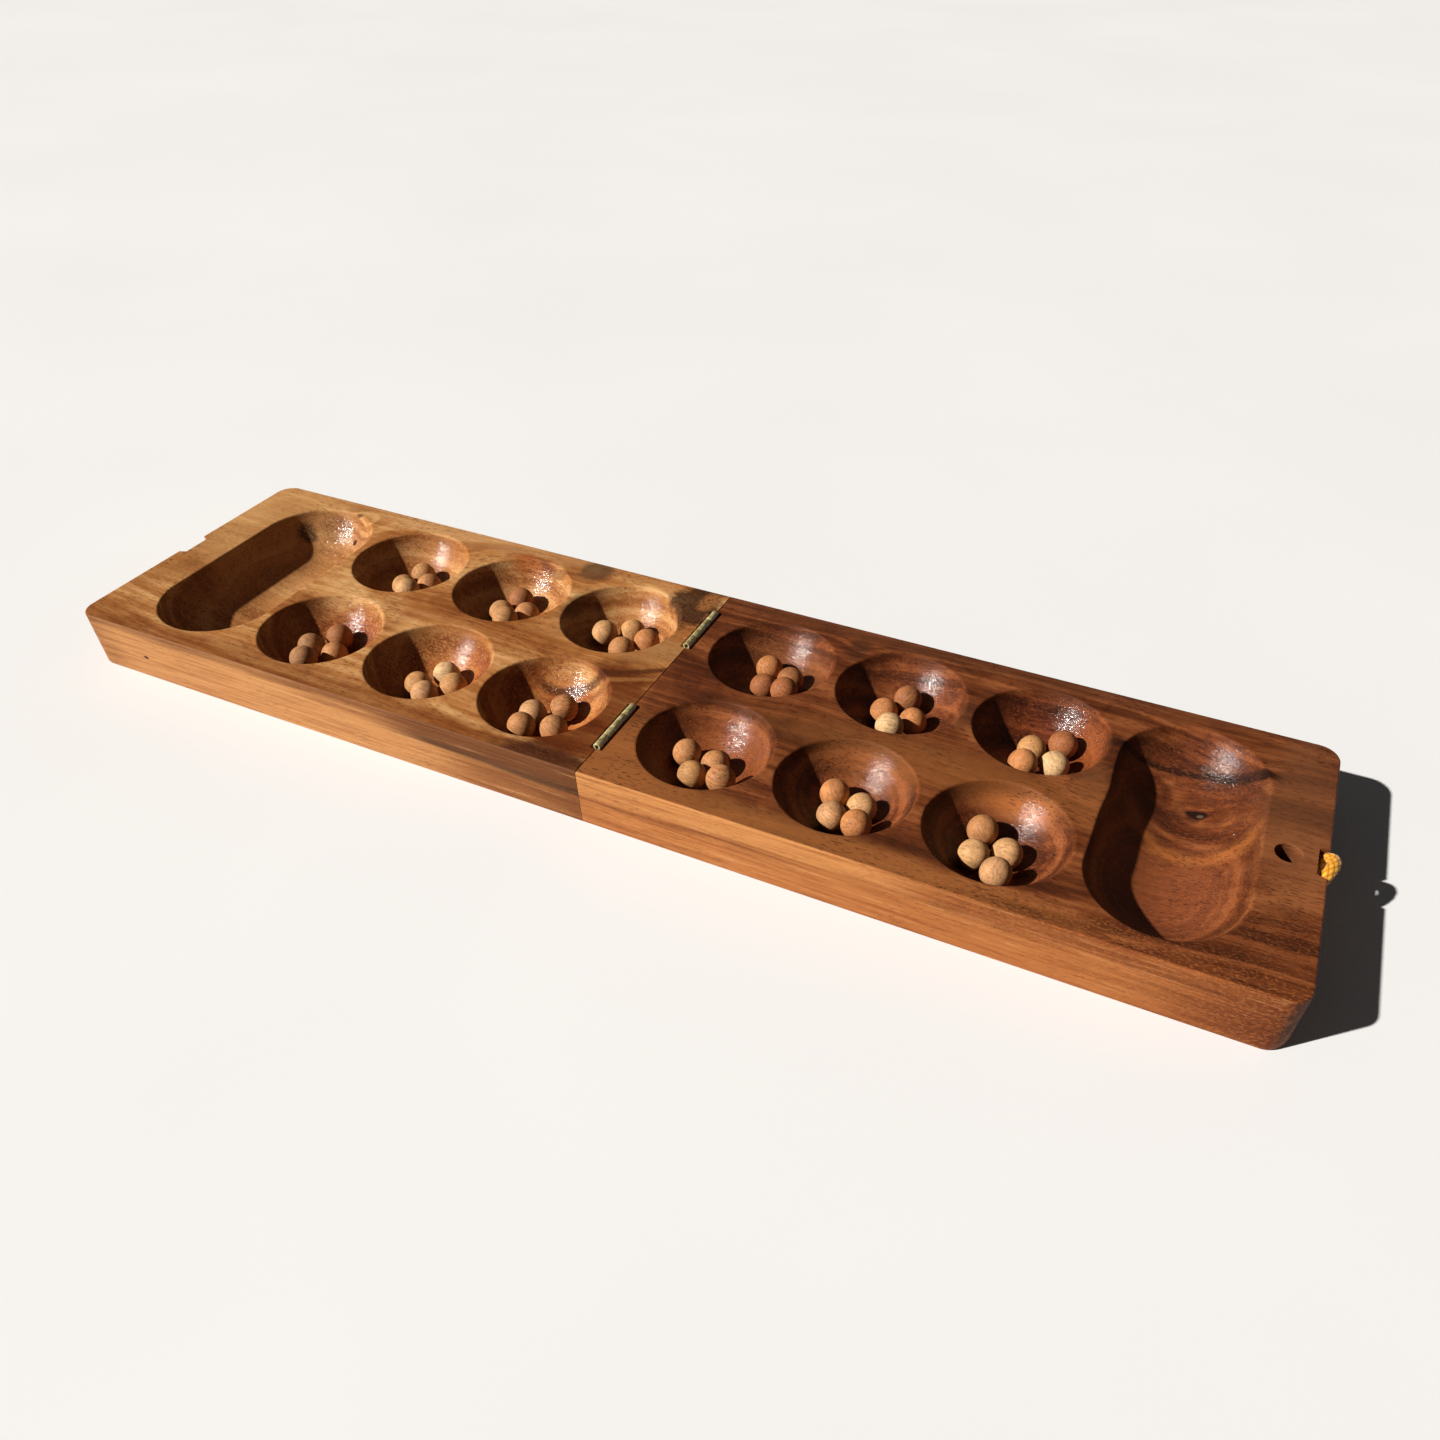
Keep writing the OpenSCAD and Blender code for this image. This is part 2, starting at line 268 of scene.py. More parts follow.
def make_half(name, waist):
    """The half on the +X side: outer skin, seven bowls, and the playing face between them."""
    outline = half_outline()
    verts, faces = [], []

    def add_ring(points, heights):
        base = len(verts)
        verts.extend((p[0], p[1], z) for p, z in zip(points, heights))
        return list(range(base, base + len(points)))

    def level_ring(points, z):
        return add_ring(points, [z] * len(points))

    def bridge(a, b):
        n = len(a)
        faces.extend((a[i], b[i], b[(i + 1) % n], a[(i + 1) % n]) for i in range(n))

    # top edge, sides, and the bottom edge, which is rounder at the outer end
    rings = []
    for i in range(5):
        a = math.pi / 2 * i / 4
        s, c = 1 - math.sin(a), 1 - math.cos(a)
        rings.append(level_ring(inset(outline, 0.12 * s, EDGE_R * s, EDGE_R * s), HEIGHT - EDGE_R * c))
    for z in (16.5, 11, 6.5):
        rings.append(level_ring(outline, z))
    ends = [min(1.0, max(0.0, (p.x - HALF_LENGTH + CORNER_R) / CORNER_R)) for p in outline]
    for i in range(6):
        a = math.pi / 2 * i / 5
        s = 1 - math.cos(a)
        heights = [(EDGE_R + 1.9 * end ** 2) * (1 - math.sin(a)) for end in ends]
        rings.append(add_ring(inset(outline, 0.25 * s, EDGE_R * s, 2.5 * s), heights))
    for a, b in zip(rings, rings[1:]):
        bridge(a, b)
    faces.append(tuple(rings[-1]))

    holes = []
    for row in (-1, 1):
        for k in range(3):
            holes.append((pit_loop(FIRST_PIT + k * PIT_PITCH, row * ROW_Y), PIT_BALL, PIT_R, PIT_DEPTH, True))
    holes.append((store_loop(STORE_X, waist), STORE_BALL, STORE_R, STORE_DEPTH, False))
    tops = []
    for loop, ball, rim, depth, pointed in holes:
        previous = None
        for r, z in bowl_rows(ball, rim, depth):
            ring = level_ring(loop(r), z)
            if previous is None:
                tops.append(ring)
            else:
                bridge(previous, ring)
            previous = ring
        if pointed:
            n = len(previous)
            centre = sum((Vector(verts[i]) for i in previous), Vector()) / n
            verts.append((centre.x, centre.y, HEIGHT - depth))
            faces.extend((previous[i], len(verts) - 1, previous[(i + 1) % n]) for i in range(n))
        else:
            faces.append(tuple(previous))

    # the playing face between the outline and the bowls
    loops = [rings[0]] + tops
    index = [i for ring in loops for i in ring]
    flat, edges = [Vector(verts[i][:2]) for i in index], []
    base = 0
    for ring in loops:
        n = len(ring)
        edges.extend((base + i, base + (i + 1) % n) for i in range(n))
        base += n
    out_v, _, out_f, origin, _, _ = delaunay_2d_cdt(flat, edges, [], 0, 1e-6, True)
    rims = [loop(rim + RIM_EASE) for loop, _, rim, _, _ in holes]
    for tri in out_f:
        c = sum((out_v[i] for i in tri), Vector((0, 0))) / 3
        if c.x > HALF_LENGTH or abs(c.y) > HALF_WIDTH:
            continue
        if within(c, flat[:len(outline)]) and not any(within(c, poly) for poly in rims):
            faces.append(tuple(index[origin[i][0]] for i in tri))
    ob = new_object(name, verts, faces)
    outward(ob)
    return ob


def within(p, poly):
    """True if the point lies inside the polygon."""
    inside = False
    j = len(poly) - 1
    for i in range(len(poly)):
        (xi, yi), (xj, yj) = poly[i], poly[j]
        if (yi > p.y) != (yj > p.y) and p.x < (xj - xi) * (p.y - yi) / (yj - yi) + xi:
            inside = not inside
        j = i
    return inside


def hinge_cutters(side):
    """Barrel pockets, leaf mortises and screw holes in one half's butted face."""
    half = BARREL / 2
    pockets, mortises, holes = [], [], []
    for s in (-1, 1):
        y = s * HINGE_Y
        for boxes, reach, gap, z0, z1 in ((pockets, 2.4, 0.8, HEIGHT - 1.6, HEIGHT + 2),
                                          (mortises, 0.85, 0.05, HEIGHT - 10.05, HEIGHT - 1)):
            x0, x1 = sorted((-side, side * reach))
            boxes.append(box_part((x0, y - half - gap, z0), (x1, y + half + gap, z1)))
        for dy in SCREW_SPOTS:
            holes.append(lathe_part((0, y + dy, SCREW_Z), (side, 0, 0), [(0, 0.9), (8, 0.9)], 20))
    return [join("cutter", p) for p in (pockets, mortises, holes)]


def notch_part(side):
    """The notch in a half's outer end, as a prism that runs past both faces."""
    plan = [(NOTCH_X, 5.7), (HALF_LENGTH, 7), (HALF_LENGTH + 2, 7)]
    plan = [(x, -y) for x, y in plan] + plan[::-1]
    n = len(plan)
    v = [(side * x, y, z) for z in (-2, HEIGHT + 2) for x, y in plan]
    walls = [(i, (i + 1) % n, n + (i + 1) % n, n + i) for i in range(n)]
    return v, [tuple(range(n)), tuple(range(n, 2 * n))] + walls


right_half = make_half("right_board", 0.8)
left_half = make_half("left_board", 0.0)
for v in left_half.data.vertices:
    v.co.x = -v.co.x
left_half.data.flip_normals()
for ob, side in ((right_half, 1), (left_half, -1)):
    for cutter in hinge_cutters(side) + [join("cutter", [notch_part(side)])]:
        cut(ob, cutter)
hole_rim = [(2, 0.16), (0, 0.16), (-0.06, 0.07), (-0.16, 0.01), (-0.5, 0), (-15, 0)]
hole_rim = [(along, KNOT_HOLE_R + wider) for along, wider in hole_rim]
cut(right_half, join("cutter", [lathe_part((KNOT_HOLE_X, 0, HEIGHT), (0, 0, 1), hole_rim, 64)]))
bores = [lathe_part((KNOT_HOLE_X, s * CORD_Y, CORD_Z), (1, 0, 0), [(0, 1.6), (12, 1.6)], 24) for s in (-1, 1)]
cut(right_half, join("cutter", bores))
stud_bore = lathe_part((-NOTCH_X + 0.5, 0, STUD_Z), (1, 0, 0), [(-8, 1.05), (0, 1.05)], 20)
cut(left_half, join("cutter", [stud_bore]))
for ob, node, body in ((left_half, "left_half", "left"), (right_half, "right_half", "right")):
    crease(ob)
    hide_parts(node)
    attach(ob, body)


# ---- shader helpers
# shades below are sRGB 0..255, as the photo's sun shows them; every material is this much deeper
DEEPEN = (219, 219, 219)


class Shader:
    """Short calls that add nodes to a new material or world."""

    def __init__(self, name, kind="materials"):
        self.owner = getattr(bpy.data, kind).new(name)
        self.owner.use_nodes = True
        self.tree = self.owner.node_tree
        self.tree.nodes.clear()

    def add(self, kind, ins=None, **props):
        n = self.tree.nodes.new(kind)
        for k, v in props.items():
            setattr(n, k, v)
        for k, v in (ins or {}).items():
            if isinstance(v, bpy.types.NodeSocket):
                self.tree.links.new(v, n.inputs[k])
            else:
                n.inputs[k].default_value = v
        return n

    def math(self, op, a, b=0.0):
        return self.add("ShaderNodeMath", {0: a, 1: b}, operation=op).outputs[0]

    def plus(self, a, b):
        return self.math("ADD", a, b)

    def minus(self, a, b):
        return self.math("SUBTRACT", a, b)

    def times(self, first, *others):
        for other in others:
            first = self.math("MULTIPLY", first, other)
        return first

    def vec(self, op, a, b):
        return self.add("ShaderNodeVectorMath", {0: a, 1: b}, operation=op).outputs[0]

    def stretch(self, v, x, y, z):
        return self.vec("MULTIPLY", v, (x, y, z))

    def place(self):
        """Object coordinates in millimetres."""
        return self.stretch(self.add("ShaderNodeTexCoord").outputs["Object"], 1000, 1000, 1000)

    def split(self, v):
        return self.add("ShaderNodeSeparateXYZ", {0: v}).outputs

    def attribute(self, name):
        return self.add("ShaderNodeAttribute", attribute_name=name).outputs["Vector"]

    def noise(self, v, scale, detail, rough):
        ins = {"Vector": v, "Scale": scale, "Detail": detail, "Roughness": rough}
        return self.add("ShaderNodeTexNoise", ins).outputs[0]

    def smooth(self, v, low, high, to_low=0.0, to_high=1.0):
        ins = {0: v, 1: low, 2: high, 3: to_low, 4: to_high}
        return self.add("ShaderNodeMapRange", ins, interpolation_type="SMOOTHSTEP").outputs[0]

    def fall(self, v, low, high):
        """1 below low, 0 above high."""
        return self.smooth(v, low, high, 1.0, 0.0)

    def ramp(self, v, stops):
        n = self.add("ShaderNodeValToRGB", {0: v})
        for i, (pos, colour) in enumerate(stops):
            e = n.color_ramp.elements[i] if i < 2 else n.color_ramp.elements.new(pos)
            e.position, e.color = pos, (*linear(colour), 1)
        return n.outputs[0]

    def mix(self, fac, a, b, blend="MIX"):
        n = self.add("ShaderNodeMix", data_type="RGBA", blend_type=blend)
        for key, v in (("Factor_Float", fac), ("A_Color", a), ("B_Color", b)):
            socket = next(s for s in n.inputs if s.identifier == key)
            if isinstance(v, bpy.types.NodeSocket):
                self.tree.links.new(v, socket)
            else:
                socket.default_value = v if key == "Factor_Float" else (*linear(v), 1)
        return next(s for s in n.outputs if s.identifier == "Result_Color")

    def bump(self, height, distance, strength):
        """distance is in metres."""
        ins = {"Height": height, "Distance": distance, "Strength": strength}
        return self.add("ShaderNodeBump", ins).outputs[0]

    def finish(self, ins, from_behind=None):
        """The Principled shader with these inputs; the back faces may have another shader."""
        ins["Base Color"] = self.mix(1.0, ins["Base Color"], DEEPEN, "MULTIPLY")
        surface = self.add("ShaderNodeBsdfPrincipled", ins).outputs[0]
        if from_behind is not None:
            behind = self.add("ShaderNodeNewGeometry").outputs["Backfacing"]
            surface = self.add("ShaderNodeMixShader", {0: behind, 1: surface, 2: from_behind}).outputs[0]
        self.add("ShaderNodeOutputMaterial", {"Surface": surface})
        return self.owner


def linear(rgb):
    """sRGB 0..255 to linear."""
    return tuple(c / 255 / 12.92 if c <= 10.3 else ((c / 255 + 0.055) / 1.055) ** 2.4 for c in rgb)


# ---- board wood
SIDE_FADE = (56.6, 57.3)


def board_wood(name, look):
    """Ringed and fibrous wood. The look's tables say where its bands, patches and marks lie."""
    s = Shader(name)
    p = s.place()
    px, py, pz = s.split(p)
    far_x, far_y = s.math("ABSOLUTE", px), s.math("ABSOLUTE", py)
    # slow drift of the grain, so that lines wander instead of running dead straight
    slow = {"Vector": s.stretch(p, 0.4, 1, 1), "Scale": look["drift_scale"], "Detail": 2.0, "Roughness": 0.45}
    drift = s.vec("SUBTRACT", s.add("ShaderNodeTexNoise", slow).outputs[1], (0.5, 0.5, 0.5))
    q = s.vec("ADD", p, s.stretch(drift, 0, look["drift"], look["drift"]))
    x, y, z = s.split(q)
    rag = s.minus(s.noise(s.stretch(p, 0.55, 1, 1), 0.2, 4.0, 0.62), 0.5)

    def square(v):
        return s.times(v, v)

    def oval(cx, cy, rx, ry, cz=None, rz=1.0):
        """Distance from the oval's middle in units of its radii, in plan where it has no cz."""
        spans = [(px, cx, rx), (py, cy, ry)] + ([] if cz is None else [(pz, cz, rz)])
        squares = [square(s.math("DIVIDE", s.minus(v, middle), radius)) for v, middle, radius in spans]
        total = squares[0]
        for other in squares[1:]:
            total = s.plus(total, other)
        return s.math("SQRT", total)

    def band(v, low, high, soft):
        """1 between low and high, 0 outside."""
        return s.times(s.smooth(v, low - soft, low + soft), s.fall(v, high - soft, high + soft))

    def blob(cx, cy, rx, ry, soft, rough, cz=None, rz=1.0):
        """1 inside a ragged oval, 0 outside."""
        d = s.plus(oval(cx, cy, rx, ry, cz, rz), s.times(rag, rough * 2.2))
        return s.fall(d, 1 - soft, 1 + soft)

    def line(points, width, soft, ragged=2.0):
        """1 along a curve y = f(x) through three points, fading outside them."""
        (x0, y0), (x1, y1), (x2, y2) = points
        a, b, c = np.linalg.solve([[1, t, t * t] for t in (x0, x1, x2)], [y0, y1, y2])
        curve = s.plus(s.times(s.plus(s.times(px, c), b), px), a)
        d = s.math("ABSOLUTE", s.plus(s.minus(py, curve), s.times(rag, ragged)))
        return s.times(s.fall(d, width, width + soft), band(px, x0, x2, 3.0))

    # growth rings about a pith line under the board, tilted along X
    across = s.minus(y, look["pith_y"])
    above = s.minus(z, s.plus(s.times(x, look["pith_tilt"]), look["pith_z"]))
    radius = s.math("SQRT", s.plus(square(across), square(above)))
    for cx, cy, cz, size, amount in look["knots"]:
        bulge = s.math("EXPONENT", s.times(square(oval(cx, cy, size, size, cz, size)), -1.0))
        radius = s.plus(radius, s.times(bulge, amount))
    ring_noise = {"W": radius, "Scale": look["band_scale"], "Detail": 5.0, "Roughness": 0.6}
    bands = s.add("ShaderNodeTexNoise", ring_noise, noise_dimensions="1D").outputs[0]
    streaks = s.noise(s.stretch(q, 0.03, 1, 1), 0.4, 6.0, 0.68)
    mottle = s.noise(s.stretch(p, 0.5, 1, 1), 0.12, 4.0, 0.6)
    hair = s.noise(s.stretch(q, 0.05, 1, 1), 1.7, 3.0, 0.7)
    band_weight, *weights = look["weights"]
    fac = s.times(bands, band_weight)
    for field, weight in zip((streaks, mottle, hair), weights):
        fac = s.plus(fac, s.times(field, weight))
    colour = s.ramp(s.smooth(s.math("DIVIDE", fac, sum(look["weights"])), 0.39, 0.61), look["ramp"])
    # fine fibres, and soft darker bands across the grain, a painted sheen of chatoyant wood
    colour = s.mix(s.smooth(hair, 0.40, 0.66, 0.0, look["fibre_amount"]), colour, look["fibre"], "MULTIPLY")
    painted_sheen = s.noise(s.stretch(p, 1, 0.3, 0.3), 0.16, 3.0, 0.6)
    colour = s.mix(s.smooth(painted_sheen, 0.42, 0.68, 0.0, 0.35), colour, (214, 196, 182), "MULTIPLY")
    # broad places of another shade
    for kind, shape, shade, amount, *blend in look["places"]:
        mask = blob(*shape) if kind == "blob" else line(*shape)
        colour = s.mix(s.times(mask, amount), colour, shade, *blend)
    # the front side shows other layers of the plank
    front = s.fall(py, -SIDE_FADE[1], -SIDE_FADE[0])
    wave = s.minus(s.noise(s.stretch(p, 0.12, 1, 1), 0.11, 3.0, 0.5), 0.5)
    wavy_z = s.plus(pz, s.times(wave, 9.0))
    for x0, x1, z0, z1, shade, amount in look["front"]:
        mask = s.times(s.smooth(px, x0, x0 + 30), s.fall(px, x1 - 30, x1), band(wavy_z, z0, z1, 1.3), front)
        colour = s.mix(s.times(mask, amount), colour, shade)
    # both long sides have dark and pale strands
    side = s.smooth(far_y, *SIDE_FADE)
    strand = s.noise(s.stretch(p, 0.035, 1, 1), 0.75, 6.0, 0.72)
    dark_strand = s.times(side, s.smooth(strand, 0.44, 0.66, 0.0, 0.6))
    colour = s.mix(dark_strand, colour, (188, 158, 138), "MULTIPLY")
    colour = s.mix(s.times(side, s.smooth(strand, 0.34, 0.44, 0.3, 0.0)), colour, (236, 178, 118))
    # inside the bowls the wood is cut across its layers and lacquered
    inner = s.times(s.fall(pz, 17.0, 21.8), s.fall(far_y, 50.2, 50.8),
                    band(far_x, 5.5, 205.5, 0.5), s.smooth(pz, 2.0, 4.0))
    colour = s.mix(s.times(inner, look["bowl_amount"]), colour, look["bowl"], "MULTIPLY")
    # pale flecks of cut fibre in the bowls, which also serve as a painted sparkle of the lacquer
    fibre_and_glint_flecks = s.smooth(s.noise(s.stretch(p, 0.42, 1, 1), 1.5, 2.0, 0.6), 0.52, 0.68)
    colour = s.mix(s.times(fibre_and_glint_flecks, inner, 0.3), colour, look["fibre_and_glint_flecks"])
    for cx, cy, rx, ry, line_shade, glow_shade in look["figures"]:
        d = s.plus(oval(cx, cy, rx, ry), s.times(rag, 0.35))
        rings = s.plus(s.times(s.math("SINE", s.times(d, 25.0)), 0.5), 0.5)
        colour = s.mix(s.times(rings, s.smooth(d, 0.8, 1.3, 0.4, 0.0), inner), colour, line_shade)
        glow = s.times(band(d, 0.90, 1.10, 0.14), s.fall(py, cy - 14, cy + 2), inner, 0.68)
        colour = s.mix(glow, colour, glow_shade)
    # pores: short dark ticks along the grain, fewer on the long sides
    where = s.smooth(s.noise(p, 0.045, 2.0, 0.5), 0.36, 0.64, 0.35, 1.0)
    ticks = s.noise(s.stretch(q, 0.2, 1, 1), 1.9, 1.0, 0.4)
    pore = s.times(s.smooth(ticks, 0.58, 0.66), where)
    fewer = s.smooth(far_y, *SIDE_FADE, look["pore_amount"], look["pore_amount"] * 0.35)
    colour = s.mix(s.times(pore, fewer), colour, look["pore"], "MULTIPLY")
    # flecks: longer dashes, in patches only
    dash = s.smooth(s.noise(s.stretch(p, 0.45, 1, 1), 1.9, 2.0, 0.5), 0.52, 0.64)
    for cx, cy, rx, ry, shade, amount, *zone in look["flecks"]:
        mask = s.times(blob(cx, cy, rx, ry, 0.4, 0.4, *zone), dash)
        colour = s.mix(s.times(mask, amount), colour, shade)
    # hearts of knots, and small checks
    for cx, cy, cz, rx, ry, rz, shade in look["hearts"]:
        d = s.plus(oval(cx, cy, rx, ry, cz, rz), s.times(rag, 1.3))
        colour = s.mix(s.fall(d, 0.65, 1.25), colour, shade)
    normal = s.bump(s.plus(s.times(hair, 0.35), s.times(pore, -0.8)), 0.00015, 0.7)
    # tool marks under the lacquer, which break up its highlights
    rasp = s.noise(s.stretch(p, 0.45, 1, 1), look["rasp"], 3.0, 0.7)
    glint = s.bump(s.plus(rasp, s.times(pore, -0.25)), 0.00025, 0.9)
    rough = s.plus(s.times(inner, 0.12), s.plus(0.50, s.times(hair, 0.12)))
    return s.finish({"Base Color": colour, "Roughness": rough, "Normal": normal, "Specular IOR Level": 0.1,
                     "Coat Weight": s.times(inner, look["coat"]), "Coat Roughness": 0.11, "Coat IOR": 1.5,
                     "Coat Normal": glint})


# How the two looks are written (lengths in mm; a zone is z and radius z, where a mark keeps to one height):
#   pith_*   the line that the growth rings run round; drift* is how the grain wanders off it
#   knots    x, y, z, size, how far the rings bulge there
#   weights  of the rings, streaks, mottle and fine hair in the ramp's place
#   places   kind, shape, shade, amount, and the blend where it isn't a plain mix; a blob's shape is x, y,
#            radius x, radius y, softness, raggedness, zone; a line's is three points, width, softness,
#            raggedness
#   front    x0, x1, z0, z1, shade, amount of bands on the front side
#   figures  x, y, radius x, radius y, line shade, glow shade of rings drawn in a bowl
#   flecks   x, y, radius x, radius y, shade, amount, zone
#   hearts   x, y, z, radius x, radius y, radius z, shade
left_look = {
    "drift_scale": 0.018, "drift": 24.0,
    "pith_y": 18.0, "pith_z": -62.0, "pith_tilt": 0.05,
    "knots": [(-172, 44, 20, 10, 8.0), (-58, 46, 18, 14, 9.0), (-162, 29, 20, 6, 3.0),
              (-118, 40, 10, 16, 5.0)],
    "band_scale": 0.17, "weights": (1.0, 0.9, 0.3, 0.45),
    "ramp": [(0.0, (168, 104, 52)), (0.3, (196, 132, 73)), (0.65, (214, 155, 95)), (1.0, (236, 185, 124))],
    "fibre": (196, 168, 140), "fibre_amount": 0.55,
    "places": [
        ("blob", (-206, 22, 30, 44, 0.6, 0.4), (214, 166, 108), 0.4),
        ("blob", (-217, -17, 16, 12, 0.5, 0.5), (214, 196, 176), 1.0, "MULTIPLY"),
        ("blob", (-214, -53, 20, 10, 0.5, 0.5), (214, 196, 176), 0.9, "MULTIPLY"),
        ("blob", (-150, -15, 40, 5, 0.6, 0.5), (206, 186, 168), 0.8, "MULTIPLY"),
        ("blob", (-110, -58, 112, 10, 0.35, 0.4), (198, 176, 158), 1.0, "MULTIPLY"),
        ("blob", (-80, 2, 34, 12, 0.7, 0.6), (224, 210, 200), 1.0, "MULTIPLY"),
        ("blob", (-112, 57, 66, 8, 0.6, 0.5), (214, 164, 112), 0.4),
        ("blob", (-12, -28, 19, 30, 0.25, 0.25, 22, 3), (158, 126, 108), 1.0, "MULTIPLY"),
        ("blob", (-14, -55, 20, 5, 0.35, 0.5), (70, 34, 18), 0.85),
        ("blob", (-20, 14, 26, 10, 0.35, 0.3), (164, 112, 66), 0.8),
        ("line", ([(-44, -13), (-20, -7), (2, 5)], 0.7, 1.6), (82, 42, 20), 0.8),
        ("line", ([(-40, -17), (-16, -10), (2, 0)], 0.4, 1.4), (96, 52, 26), 0.5),
        ("line", ([(-34, -15), (-14, -9), (2, -1)], 0.5, 1.6), (176, 116, 64), 0.6),
        ("blob", (-54, 27, 2.4, 9, 0.6, 0.5), (96, 66, 44), 0.6),
        ("blob", (-58, 52.5, 7, 8, 0.3, 0.35), (88, 58, 38), 0.8),
        ("line", ([(-84, 51), (-68, 46), (-50, 52)], 0.4, 1.2), (120, 76, 42), 0.6),
        ("blob", (-11, 44, 11, 15.5, 0.2, 0.6, 22, 4), (70, 37, 20), 0.9),
        ("blob", (-6, 50, 3.4, 6, 0.35, 0.4, 22, 4), (176, 112, 60), 0.8),
        ("blob", (-86, 47.5, 10, 4.5, 0.35, 0.6, 20, 4), (212, 164, 126), 0.9, "MULTIPLY"),
        ("blob", (-186, 45, 7, 6, 0.4, 0.7, 14, 6), (120, 74, 40), 0.5),
        ("blob", (-197, 37, 4, 4, 0.4, 0.7, 14, 5), (44, 24, 14), 0.8),
        ("blob", (-130, -27, 24, 24, 0.3, 0.3, 12, 9), (240, 206, 172), 1.0, "MULTIPLY"),
        ("blob", (-56, -27, 50, 24, 0.3, 0.3, 12, 9), (232, 190, 150), 1.0, "MULTIPLY"),
    ],
    "front": [
        (-232, 10, -5, 30, (226, 162, 100), 0.74),
        (-70, 40, -5, 12, (142, 80, 36), 0.65),
        (-88, 40, 12, 30, (68, 33, 15), 0.85),
        (-58, 40, 6.5, 9, (112, 62, 32), 0.4),
        (-130, 30, 16, 30, (134, 78, 38), 0.5),
        (-250, -20, 19.6, 30, (120, 70, 36), 0.65),
    ],
    "bowl": (226, 206, 190), "bowl_amount": 0.5, "coat": 0.5, "rasp": 1.2, "fibre_and_glint_flecks": (240, 190, 124),
    "figures": [],
    "pore": (118, 84, 64), "pore_amount": 0.5,
    "flecks": [(-11, 44, 10, 15, (34, 18, 10), 0.85, 22, 4), (-15, -55, 24, 4, (120, 70, 38), 0.4),
               (-88, -15, 15, 9, (236, 168, 92), 0.45)],
    "hearts": [(-161.5, 29, 22, 1.3, 1.2, 2, (58, 28, 12)), (-175.2, 41.6, 12.3, 1.2, 1.2, 2, (72, 30, 12)),
               (-175.4, 49, 22, 2.0, 0.8, 3, (124, 78, 42)), (-193.6, -57.5, 9.8, 1.6, 2, 0.7, (60, 30, 18))],
}
right_look = {
    "drift_scale": 0.02, "drift": 20.0,
    "pith_y": -6.0, "pith_z": -48.0, "pith_tilt": -0.03,
    "knots": [(186, 23, 6, 16, 12.0), (153, 12, 20, 9, 6.0), (60, 44, 18, 9, 4.0)],
    "band_scale": 0.2, "weights": (1.0, 0.9, 0.4, 0.45),
    "ramp": [(0.0, (82, 41, 20)), (0.35, (114, 60, 31)), (0.65, (135, 75, 40)), (1.0, (165, 100, 57))],
    "fibre": (190, 158, 134), "fibre_amount": 0.6,
    "places": [
        ("blob", (110, -6, 60, 10, 0.6, 0.5), (154, 94, 48), 0.55),
        ("blob", (70, -54, 80, 6, 0.5, 0.4), (166, 103, 54), 0.65),
        ("blob", (90, 56, 110, 6, 0.5, 0.5), (84, 50, 32), 0.5),
        ("blob", (58, 45, 4, 7, 0.5, 0.6), (62, 36, 23), 0.6),
        ("blob", (106, 24, 3.5, 9, 0.5, 0.6), (70, 42, 27), 0.55),
        ("blob", (155, 31, 4, 2.5, 0.5, 0.5), (44, 24, 16), 0.7),
        ("line", ([(146, 8), (154, 14), (161, 27)], 0.6, 1.4), (58, 32, 19), 0.6),
        ("blob", (152, 8, 5, 9, 0.6, 0.5), (142, 88, 50), 0.5),
        ("blob", (214, 20, 12, 40, 0.5, 0.4), (122, 78, 50), 0.5),
        ("blob", (11, -44, 24, 20, 0.5, 0.4), (164, 100, 52), 0.7),
        ("blob", (31.6, -26.6, 24, 24, 0.3, 0.3, 12, 9), (158, 88, 42), 0.5),
        ("blob", (31.6, 26.6, 24, 24, 0.3, 0.3, 12, 9), (134, 84, 44), 0.4),
        ("blob", (125, 38, 18, 13, 0.35, 0.3, 12, 9), (196, 166, 152), 0.9, "MULTIPLY"),
        ("blob", (147, 30, 8, 20, 0.4, 0.3, 13, 9), (160, 86, 42), 0.5),
        ("blob", (128, -15, 16, 4, 0.35, 0.4, 13, 7), (172, 142, 132), 0.9, "MULTIPLY"),
        ("blob", (137, -8, 14, 3.5, 0.4, 0.4, 17, 4.5), (184, 112, 56), 0.6),
        ("blob", (178.5, 20.5, 7, 3.4, 0.7, 0.9, 6, 7), (52, 24, 14), 0.6),
        ("blob", (184, -18, 22, 22, 0.5, 0.4, 8, 12), (152, 86, 54), 0.45),
        ("line", ([(156, 30.6), (184.8, 39.4), (203, 34.6)], 0.4, 1.0, 1.6), (32, 14, 8), 0.9),
        ("line", ([(188, 39.2), (196, 37.6), (206, 33.6)], 1.1, 1.3, 2.4), (36, 16, 9), 0.85),
    ],
    "front": [
        (-40, 130, 14, 30, (226, 155, 90), 0.72),
        (-40, 200, -5, 14, (208, 134, 74), 0.7),
        (-20, 90, 11.4, 13, (116, 62, 30), 0.6),
        (90, 260, -5, 30, (176, 104, 52), 0.5),
        (192, 270, 2, 30, (100, 42, 14), 0.75),
    ],
    "bowl": (255, 232, 208), "bowl_amount": 0.4, "coat": 0.62, "rasp": 1.35, "fibre_and_glint_flecks": (176, 104, 54),
    "figures": [(186.4, 23.5, 22, 23, (66, 29, 16), (190, 112, 54))],
    "pore": (112, 76, 58), "pore_amount": 0.55,
    "flecks": [(212, -26, 18, 30, (156, 96, 54), 0.34), (176, -57, 66, 9, (200, 122, 66), 0.32),
               (22, 42, 12, 10, (72, 42, 24), 0.5)],
    "hearts": [(185.9, 24.1, 6.6, 3.4, 1.9, 6, (40, 19, 11)), (187.0, 23.3, 6.6, 2.0, 1.9, 6, (34, 16, 10)),
               (187.2, 23.2, 6.6, 1.0, 0.8, 5, (104, 82, 64))],
}


def dress(ob, material):
    """Gives the object one material."""
    ob.data.materials.clear()
    ob.data.materials.append(material)


